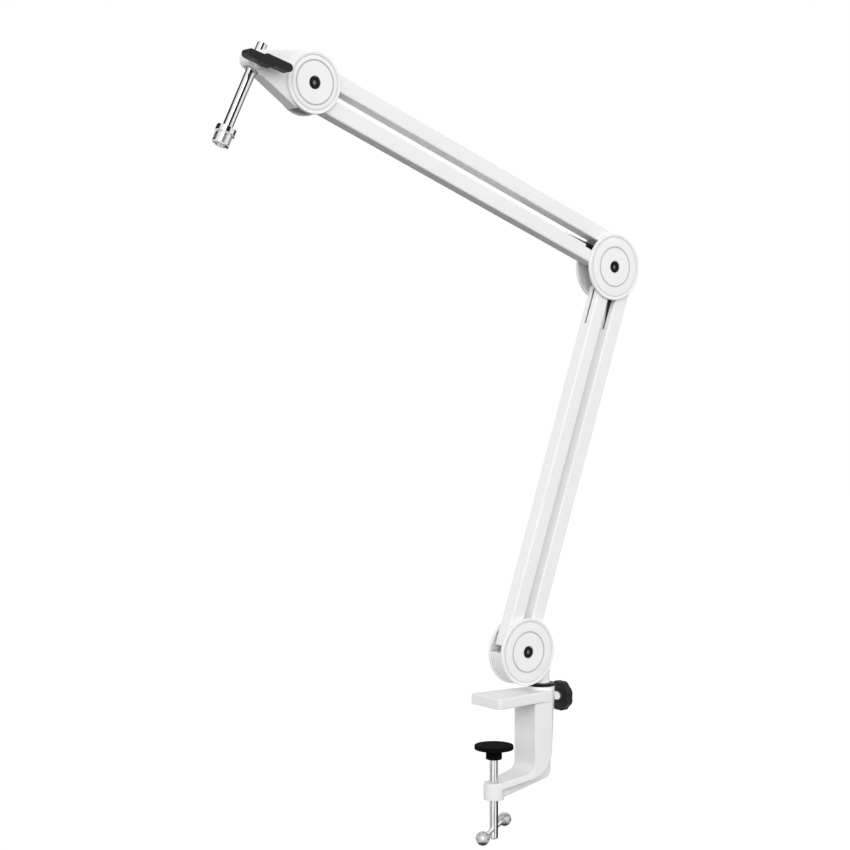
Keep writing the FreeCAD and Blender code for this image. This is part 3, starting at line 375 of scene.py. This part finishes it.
EDGES = {
    "lower_front_tube": 0.3, "lower_rear_tube": 0.3, "upper_bottom_tube": 0.3, "upper_top_tube": 0.3,
    "base_nut": 0.3, "elbow_nut": 0.3, "head_nut": 0.3, "post_bush": 0.4, "thumb_ferrule": 0.5,
    "screw_pad": 0.8, "clamp_screw": 0.3, "lower_link": 0.15, "upper_link": 0.15, "mic_rod": 0.6,
    "rod_liner": 0.3,
}
for node, edge in EDGES.items():
    soft_edged(node, edge)
print("rounded", len(EDGES), "pieces")

# %% [markdown]
# ## Cast forms
# A casting has soft edges outside and soft corners inside, where the mould must let go of the metal. A bevel
# can't round an inside corner where many faces meet, so these pieces are turned into an even grid of small
# faces, and a few smoothing passes round everything at once. The two moulded knobs are made the same way.

# %% Castings and knobs
def cast(node, grid, passes):
    """A solid as a casting: an even grid of so many mm, smoothed so many times."""
    mesh = settle(merged(node),
                  ("REMESH", {"mode": "VOXEL", "voxel_size": grid * MM, "use_smooth_shade": True}),
                  ("SMOOTH", {"factor": 0.5, "iterations": passes}))
    return stand_in(node + "_cast", mesh, node)


for node, grid, passes in (("clamp_frame", 0.6, 5), ("base_casting", 0.5, 4), ("head_casting", 0.5, 5),
                           ("wing_knob", 0.35, 6), ("thumb_knob", 0.35, 5)):
    piece = cast(node, grid, passes)
    print(piece.name, len(piece.data.polygons), "faces")

# %% [markdown]
# ## Turned and moulded rounds
# Hub covers, balls and the thread piece are all rounds: an outline spun about an axis. Spinning it in code
# gives many more steps than the solid has, so that rims stay round and chrome reflects without facets. A
# thread is the same spin with a little taken off the radius, by an amount that climbs as it goes round.

# %% Spin helper
SPUN_WELD = 0.001


def spun(outline, count, place, dent=None):
    """An outline of (distance from the axis, place along it) in mm, spun about an axis; dent thins it."""
    verts, faces, size = [], [], len(outline)
    for step in range(count):
        angle = 2 * math.pi * step / count
        for far, along in outline:
            far -= dent(step / count, along) if dent else 0
            verts.append((far * math.cos(angle) * MM, far * math.sin(angle) * MM, along * MM))
        for spot in range(size):
            here, after = step * size, (step + 1) % count * size
            faces.append((here + spot, here + (spot + 1) % size, after + (spot + 1) % size, after + spot))
    mesh = bpy.data.meshes.new("spun")
    mesh.from_pydata(verts, [], faces)
    work = bmesh.new()
    work.from_mesh(mesh)
    bmesh.ops.remove_doubles(work, verts=work.verts, dist=SPUN_WELD * MM)
    bmesh.ops.dissolve_degenerate(work, edges=work.edges, dist=SPUN_WELD * MM)
    bmesh.ops.recalc_face_normals(work, faces=work.faces)
    for face in work.faces:
        face.smooth = True
    work.to_mesh(mesh)
    work.free()
    mesh.transform(place)
    return mesh


def axis_at(point, direction):
    """The placing of a spun piece: its own Z along a direction, from a point."""
    turn = Vector((0, 0, 1)).rotation_difference(Vector(direction)).to_matrix().to_4x4()
    return Matrix.Translation(point) @ turn


def arc(middle, radius, start, end, steps):
    """Points of a round corner in an outline, from one angle to another."""
    angles = [math.radians(start + (end - start) * step / steps) for step in range(steps + 1)]
    return [(middle[0] + radius * math.cos(angle), middle[1] + radius * math.sin(angle)) for angle in angles]


print("a corner of 5 points:", len(arc((0, 0), 1, 0, 90, 4)))

# %% [markdown]
# ## Hub covers
# Each hub has two moulded covers. A cover is a thin skin with a round bead at its rim, a fine line inside the
# bead where two halves of the mould met, a ring groove as ornament, and a sunk seat for the head of the
# bolt. Inside it is hollow, which keeps the skin even and leaves room for the ends of the pins. The groove
# and the line are left matt, and their faces are painted grey as painted shade, so that the groove reads as
# a thin grey ring; the line at the rim gets a paler painted shade. Sizes are in mm, and depths in the
# outline count from the inner face. The zones say which faces of the skin get the painted shade of the
# groove and which get that of the line.

# %% Hub covers
SKIN, SEAT, SEAT_FLOOR, SEAT_ROUND, BORE = 0.85, 5.9, 1.0, 0.3, 3.1
GROOVE, GROOVE_HALF, GROOVE_DEEP, GROOVE_LIFT = 19.0, 0.85, 0.6, 0.2
BEAD, LINE, LINE_DEEP, LINE_SLOPE, LINE_STEP = 3.0, 1.0, 0.7, 0.1, 0.05
RIM_ROUND, RIM_EDGE, RIM_WALL, BOSS, BEVEL = 0.9, 0.3, 1.8, 8.0, 0.2
GROOVE_ZONE, RIM_ZONE, SUNK_FROM, SUNK_TO = 1.2, 0.2, 0.12, SKIN - 0.02
COVER_STEPS = 128
# painted shade: a grey for the faces of the groove, and a paler grey for the faces of the rim line
PAINTED_GROOVE_SHADE = coat("abs_painted_groove_shade", "#c6c6c6", "#bebebe", 1.0, 0.02, (0.60, 0.75), 25)
PAINTED_LINE_SHADE = coat("abs_painted_line_shade", "#e4e4e4", "#dcdcdc", 1.0, 0.02, (0.50, 0.65), 25)


def cover_outline(radius, thick):
    """Outline of a hub cover, from the floor of its seat over the face and the rim to its hollow inside."""
    back = thick - SKIN
    seat = [(BORE, SEAT_FLOOR), (SEAT, SEAT_FLOOR), (SEAT, thick - SEAT_ROUND)] \
        + arc((SEAT + SEAT_ROUND, thick - SEAT_ROUND), SEAT_ROUND, 180, 90, 3)
    groove = [(GROOVE - GROOVE_HALF, thick)] \
        + arc((GROOVE, thick + GROOVE_LIFT), GROOVE_DEEP + GROOVE_LIFT, 200, 340, 8) \
        + [(GROOVE + GROOVE_HALF, thick)]
    line = [(radius - BEAD - LINE - LINE_SLOPE, thick), (radius - BEAD - LINE, thick - LINE_DEEP),
            (radius - BEAD, thick - LINE_DEEP), (radius - BEAD + LINE_SLOPE, thick - LINE_STEP)]
    rim = arc((radius - RIM_ROUND, thick - RIM_ROUND), RIM_ROUND, 90, 0, 6) + [(radius, RIM_EDGE)] \
        + arc((radius - RIM_EDGE, RIM_EDGE), RIM_EDGE, 0, -90, 3)
    inside = [(radius - RIM_WALL + BEVEL / 2, 0), (radius - RIM_WALL, BEVEL), (radius - RIM_WALL, back),
              (BOSS + BEVEL, back), (BOSS, BEVEL), (BOSS - BEVEL, 0), (BORE, 0)]
    return seat + groove + line + rim + inside


for hub in ("base", "elbow", "head"):
    for side in ("front", "back"):
        node = "%s_%s_disc" % (hub, side)
        low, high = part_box(node)
        out_way, inner = (-1, high.y) if side == "front" else (1, low.y)
        face = Vector(((low.x + high.x) / 2, inner, (low.z + high.z) / 2))
        radius, thick = (high.x - low.x) / 2 / MM, (high.y - low.y) / MM
        mesh = spun(cover_outline(radius, thick), COVER_STEPS, axis_at(face, (0, out_way, 0)))
        mesh = settle(mesh, ("WEIGHTED_NORMAL", {"keep_sharp": True}))
        cover = stand_in(node + "_cover", mesh, node)
        cover.data.materials.append(PAINTED_GROOVE_SHADE)
        cover.data.materials.append(PAINTED_LINE_SHADE)
        skin = inner + out_way * thick * MM
        for part in cover.data.polygons:
            out = math.hypot(part.center.x - face.x, part.center.z - face.z) / MM
            deep = abs(part.center.y - skin) / MM
            # painted shade: faces sunk in the groove take the second finish, faces of the rim line the third
            if GROOVE - GROOVE_ZONE < out < radius - BEAD + RIM_ZONE and SUNK_FROM < deep < SUNK_TO:
                part.material_index = 1 if out < GROOVE + GROOVE_ZONE else 2
    print(hub, "cover of", round(2 * radius, 1), "mm,", len(cover.data.polygons), "faces")

# %% [markdown]
# ## Bolts with a painted highlight in the socket
# The hub bolts are black, with a socket for a hex key. The floor of the socket is given a paler bare-metal
# finish as a painted highlight, which shows as a pale spot in the middle of each bolt. Only those faces get the
# second finish.

# %% Bolts
HEX_HALF, HEX_DEEP, BOLT_EDGE, FLOOR_BAND = 2.3, 1.3, 0.25, 0.25
for hub in ("base", "elbow", "head"):
    bolt = soft_edged(hub + "_bolt", BOLT_EDGE)
    # painted highlight: a paler metal for the floor of the hex socket
    bolt.data.materials.append(FINISH["spring_steel"])
    low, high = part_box(hub + "_bolt")
    centre = (low + high) / 2
    painted_highlight = 0
    for face in bolt.data.polygons:
        off = math.hypot(face.center.x - centre.x, face.center.z - centre.z)
        if off < HEX_HALF * MM and abs(face.center.y - low.y - HEX_DEEP * MM) < FLOOR_BAND * MM:
            face.material_index = 1
            painted_highlight += 1
    print(bolt.name, painted_highlight, "worn faces")

# %% [markdown]
# ## Balls of the turning bar
# A ball on a turning bar is turned from rod: a near sphere with a small flat where the bar enters and
# another at the far side, left by the tool that cut it off.

# %% Balls
BALL, BAR, BAR_TURN, BAR_HALF = 6.6, 2.0, 35.0, 38.0
FLAT_RIM, BAR_SEAT, CUT_OFF, BALL_STEPS = 0.9, 2.0, 80, 64
flat = math.degrees(math.asin((BAR + FLAT_RIM) / BALL))
ball = [(BAR, BAR_SEAT - BALL), (BAR, -math.cos(math.radians(flat)) * BALL)] \
    + arc((0, 0), BALL, flat - 90, CUT_OFF, 28) \
    + [(0, BALL * math.sin(math.radians(CUT_OFF))), (0, BAR_SEAT - BALL)]
low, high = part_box("tommy_balls")
along = Vector((math.cos(math.radians(BAR_TURN)), math.sin(math.radians(BAR_TURN)), 0))
work = bmesh.new()
for way in (-1, 1):
    centre = (low + high) / 2 + along * way * BAR_HALF * MM
    work.from_mesh(spun(ball, BALL_STEPS, axis_at(centre, along * way)))
mesh = bpy.data.meshes.new("turned_balls")
work.to_mesh(mesh)
work.free()
stand_in("turned_balls", mesh, "tommy_balls")
print("balls:", len(mesh.polygons), "faces")

# %% [markdown]
# ## Thread for the microphone
# The rod ends in a collar and a short thread of 5/8 inch with 27 turns to the inch, the common size for
# microphone clips. It is turned and chromed: a soft-edged collar, a relief under it, the thread with broad
# flat crests and narrow valleys, and a bore in the end. The rod's own line is read from the record's joint,
# and places along it are in mm from the joint's point.

# %% Microphone thread
JOINT_OF = {joint["name"]: joint for joint in frame["joints"]}
rod_point = Vector(JOINT_OF["rod_turn"]["pos_m"])
rod_line = Vector(JOINT_OF["rod_turn"]["axis"])
COLLAR, COLLAR_TOP, COLLAR_LOW, COLLAR_ROUND = 9.15, -62.3, -68.1, 0.5
STUB, STUB_END, STUB_BEVEL, RELIEF, RUN_OUT = 7.94, -78.3, 0.6, 0.7, 0.9
END_BORE, END_BORE_TOP, END_BEVEL = 2.6, -74.0, 0.5
ROD, ROD_END = 4.75, -70.5
INCH_PITCH, CUT_DEEP, CREST, PLAIN_END, ROWS_A_TURN, STUB_STEPS = 25.4 / 27, 0.2, 0.85, 0.1, 8, 72
FIRST_TURN, LAST_TURN = STUB_END + STUB_BEVEL, COLLAR_LOW - RUN_OUT


def thread_cut(share, along):
    """How much the thread takes off the radius, at a share of a turn and a place along the rod."""
    if not FIRST_TURN + PLAIN_END < along < LAST_TURN - PLAIN_END:
        return 0
    ridge = abs(((along / INCH_PITCH - share) % 1) * 2 - 1)
    return CUT_DEEP * max(0, ridge - CREST) / (1 - CREST)


rows = ROWS_A_TURN * round((LAST_TURN - FIRST_TURN) / INCH_PITCH)
turns = [(STUB, FIRST_TURN + (LAST_TURN - FIRST_TURN) * row / rows) for row in range(rows + 1)]
root, shoulder = STUB - STUB_BEVEL, COLLAR - COLLAR_ROUND
outline = [(0, END_BORE_TOP), (END_BORE, END_BORE_TOP), (END_BORE, STUB_END + END_BEVEL),
           (END_BORE + END_BEVEL, STUB_END), (root, STUB_END)] + turns \
    + [(root, COLLAR_LOW - RELIEF), (root, COLLAR_LOW)] \
    + arc((shoulder, COLLAR_LOW + COLLAR_ROUND), COLLAR_ROUND, -90, 0, 4) \
    + arc((shoulder, COLLAR_TOP - COLLAR_ROUND), COLLAR_ROUND, 0, 90, 4) \
    + [(ROD, COLLAR_TOP), (ROD, ROD_END), (0, ROD_END)]
mesh = spun(outline, STUB_STEPS, axis_at(rod_point, rod_line), thread_cut)
mesh = settle(mesh, ("WEIGHTED_NORMAL", {"keep_sharp": True}))
stand_in("microphone_thread", mesh, "thread_adapter")
print("thread of", round((COLLAR_LOW - STUB_END) / INCH_PITCH, 1), "turns,", len(mesh.polygons), "faces")

# %% [markdown]
# ## Springs
# Two long springs hide in the rear and the bottom tube and carry the arm's weight. The solids are plain
# sleeves. Here each is a close-wound spring: a line that climbs by one wire with each turn, given the
# thickness of the wire.

# %% Springs
COIL, WIRE, TURN_STEPS, SPRING = 4.1, 0.5, 14, 150
TURN_PITCH = 2.06 * WIRE
SPRING_LEAN = {"lower_spring": 19.3, "upper_spring": 21.75 - 90}
for node, lean in SPRING_LEAN.items():
    low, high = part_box(node)
    along = Vector((math.sin(math.radians(lean)), 0, math.cos(math.radians(lean))))
    across = along.cross(Vector((0, 1, 0)))
    length = SPRING - 2 * WIRE
    steps = int(length / TURN_PITCH) * TURN_STEPS
    wire = bpy.data.curves.new(node + "_wire", "CURVE")
    wire.dimensions = "3D"
    wire.bevel_depth = WIRE * MM
    wire.bevel_resolution = 1
    wire.use_fill_caps = True
    line = wire.splines.new("POLY")
    line.points.add(steps)
    for step, point in enumerate(line.points):
        angle = 2 * math.pi * step / TURN_STEPS
        spot = (low + high) / 2 + (along * length * (step / steps - 0.5) + across * COIL * math.cos(angle)
                                   + Vector((0, 1, 0)) * COIL * math.sin(angle)) * MM
        point.co = (*spot, 1)
    mesh = settle(wire)
    for face in mesh.polygons:
        face.use_smooth = True
    stand_in(node + "_coil", mesh, node)
    print(node, "of", steps // TURN_STEPS, "turns,", len(mesh.polygons), "faces")

# %% [markdown]
# ## Light
# The photograph is lit as in a white tent: the walls in front and to the left are bright, those behind and
# the roof are dimmer, and little comes from below. So the world is the main light, with that change from
# side to side and upwards, and one wide sun from the front left adds the small step between the faces. To
# the camera, and in the metal, the world is plain white, so a ray first asks where it comes from.

# %% Sun and world
def sun(name, towards, strength, spread):
    """A soft sun that shines along a direction; the spread is how wide it looks, in degrees."""
    data = bpy.data.lights.new(name, "SUN")
    data.energy = strength
    data.angle = math.radians(spread)
    thing = bpy.data.objects.new(name, data)
    thing.rotation_euler = Vector(towards).to_track_quat("-Z", "Y").to_euler()
    bpy.context.scene.collection.objects.link(thing)
    return thing


def seen_directly(tree):
    """1 for a ray from the camera, a mirror or a clear piece, and 0 for one that gathers light for paint."""
    path = add(tree, "LightPath")
    seen = add(tree, "Math", {"operation": "MAXIMUM"},
               links={0: path.outputs["Is Camera Ray"], 1: path.outputs["Is Glossy Ray"]})
    seen = add(tree, "Math", {"operation": "MAXIMUM"},
               links={0: seen.outputs[0], 1: path.outputs["Is Transmission Ray"]})
    return seen.outputs[0]


sun("key_left", (0.52, 0.74, -0.42), 0.95, 50)
BRIGHT_SIDE = (-0.6, -0.8, 0.0)
WALL, BACK_WALL, ROOF = 1.42, 1.1, 0.3

world = bpy.data.worlds.new("studio")
world.use_nodes = True
bpy.context.scene.world = world
tree = world.node_tree
tree.nodes.clear()
place = add(tree, "TexCoord")
parts = add(tree, "SeparateXYZ", links={"Vector": place.outputs["Generated"]})
facing = add(tree, "VectorMath", {"operation": "DOT_PRODUCT"}, {1: BRIGHT_SIDE},
             {0: place.outputs["Generated"]})
wall = add(tree, "MapRange", sockets={"From Min": -0.5, "From Max": 0.5, "To Min": BACK_WALL, "To Max": WALL},
           links={"Value": facing.outputs["Value"]})
rise = add(tree, "MapRange", sockets={"From Min": 0.45, "From Max": 0.85}, links={"Value": parts.outputs["Z"]})
tent = add(tree, "Mix", sockets={3: ROOF}, links={0: rise.outputs["Result"], 2: wall.outputs["Result"]})
level = add(tree, "Mix", sockets={3: 1.0}, links={0: seen_directly(tree), 2: tent.outputs[0]})
sky = add(tree, "Background", sockets={"Color": (1, 1, 1, 1)}, links={"Strength": level.outputs[0]})
add(tree, "OutputWorld", links={"Surface": sky.outputs["Background"]})
bpy.context.scene.view_settings.view_transform = "Standard"
print("lamps:", [lamp.name for lamp in bpy.data.lights])

# %% [markdown]
# ## Floor
# The arm hangs on a desk edge, so the floor lies well below it. It takes the arm's shadow, and to the
# camera it glows up to white, as a lit studio sweep does.

# %% Floor
FLOOR_DROP, FLOOR_HALF, GLOW = 0.45, 6.0, 0.88
mesh = bpy.data.meshes.new("studio_floor")
mesh.from_pydata([(-FLOOR_HALF, -FLOOR_HALF, -FLOOR_DROP), (FLOOR_HALF, -FLOOR_HALF, -FLOOR_DROP),
                  (FLOOR_HALF, FLOOR_HALF, -FLOOR_DROP), (-FLOOR_HALF, FLOOR_HALF, -FLOOR_DROP)],
                 [], [(0, 1, 2, 3)])
floor = bpy.data.objects.new("studio_floor", mesh)
bpy.context.scene.collection.objects.link(floor)
material, tree, shader, here = blank("matt_paper_sweep", Roughness=0.9)
paper = blend(tree, "#6e6e6e", "#727272", noise(tree, here, 8, 2.0))
glow = add(tree, "Math", {"operation": "MULTIPLY"}, {1: GLOW}, {0: seen_directly(tree)})
shader.inputs["Emission Color"].default_value = (1, 1, 1, 1)
tree.links.new(paper, shader.inputs["Base Color"])
tree.links.new(glow.outputs[0], shader.inputs["Emission Strength"])
mesh.materials.append(material)
print("floor %.2f m below the desk face" % FLOOR_DROP)

# %% [markdown]
# ## Dark cards for the chrome
# Chrome shows nothing but its surroundings, so in an all-white room it would vanish. A studio stands dark
# cards beside it, each of which draws one dark streak along a bar. The rod needs three, about the height of
# the head: one before it, one to its left and one to its right. A grey one on the floor tones down the end
# of the rod. The clamp screw looks down at the floor, so its cards stand low, and one lies under the balls.
# They are curved walls that only mirror-like rays meet, so they throw no shadow and leave the paint as it
# is. Each line below gives a card's name, its centre, how far out it stands, its two bearings in degrees
# from +X, seen from above, and its two heights.

# %% Dark cards
def felt(name, deep, pale):
    """Pressed wool felt between two greys."""
    material, tree, shader, here = blank(name, Roughness=1.0, Specular_IOR_Level=0.0)
    nap = blend(tree, deep, pale, noise(tree, here, 15, 2.0))
    tree.links.new(nap, shader.inputs["Base Color"])
    return material


BLACK_FELT = felt("black_felt", "#303030", "#3a3a3a")
GREY_FELT = felt("grey_felt", "#acacac", "#b6b6b6")
CARD_STEPS = 24


def card(name, centre, reach, first, last, low, high, foot=None, cloth=BLACK_FELT):
    """A curved wall between two bearings and heights, met by mirror-like rays alone; foot: its reach below."""
    verts = []
    for step in range(CARD_STEPS + 1):
        bearing = math.radians(first + (last - first) * step / CARD_STEPS)
        for far, level in ((foot or reach, low), (reach, high)):
            verts.append((centre[0] + far * math.cos(bearing), centre[1] + far * math.sin(bearing), level))
    faces = [(2 * step, 2 * step + 2, 2 * step + 3, 2 * step + 1) for step in range(CARD_STEPS)]
    mesh = bpy.data.meshes.new(name)
    mesh.from_pydata(verts, [], faces)
    mesh.materials.append(cloth)
    thing = bpy.data.objects.new(name, mesh)
    bpy.context.scene.collection.objects.link(thing)
    thing.visible_camera = thing.visible_diffuse = False
    thing.visible_shadow = thing.visible_transmission = False
    return thing


ROD_SPOT, ROD_END_SPOT, SCREW_SPOT = (-0.26, 0.0), (0.24, 1.4), (0.0, 0.0)
cards = [card("card_rod_front", ROD_SPOT, 1.2, 246, 286, 0.7, 1.5),
         card("card_rod_left", ROD_SPOT, 1.2, 85, 160, 0.85, 1.65),
         card("card_rod_right", ROD_SPOT, 1.2, 335, 372, 0.2, 0.68),
         card("card_rod_under", ROD_END_SPOT, 0.5, 0, 360, -0.43, -0.43, 0.02, GREY_FELT),
         card("card_screw_left", SCREW_SPOT, 0.8, 128, 166, -0.44, -0.16),
         card("card_screw_front", SCREW_SPOT, 0.8, 240, 256, -0.44, -0.16),
         card("card_screw_right", SCREW_SPOT, 0.8, 300, 400, -0.44, -0.16),
         card("card_screw_behind", SCREW_SPOT, 0.8, 20, 95, -0.44, 0.05),
         card("card_floor", SCREW_SPOT, 0.35, 0, 360, -0.43, -0.43, 0.02)]
print("cards:", [thing.name for thing in cards])
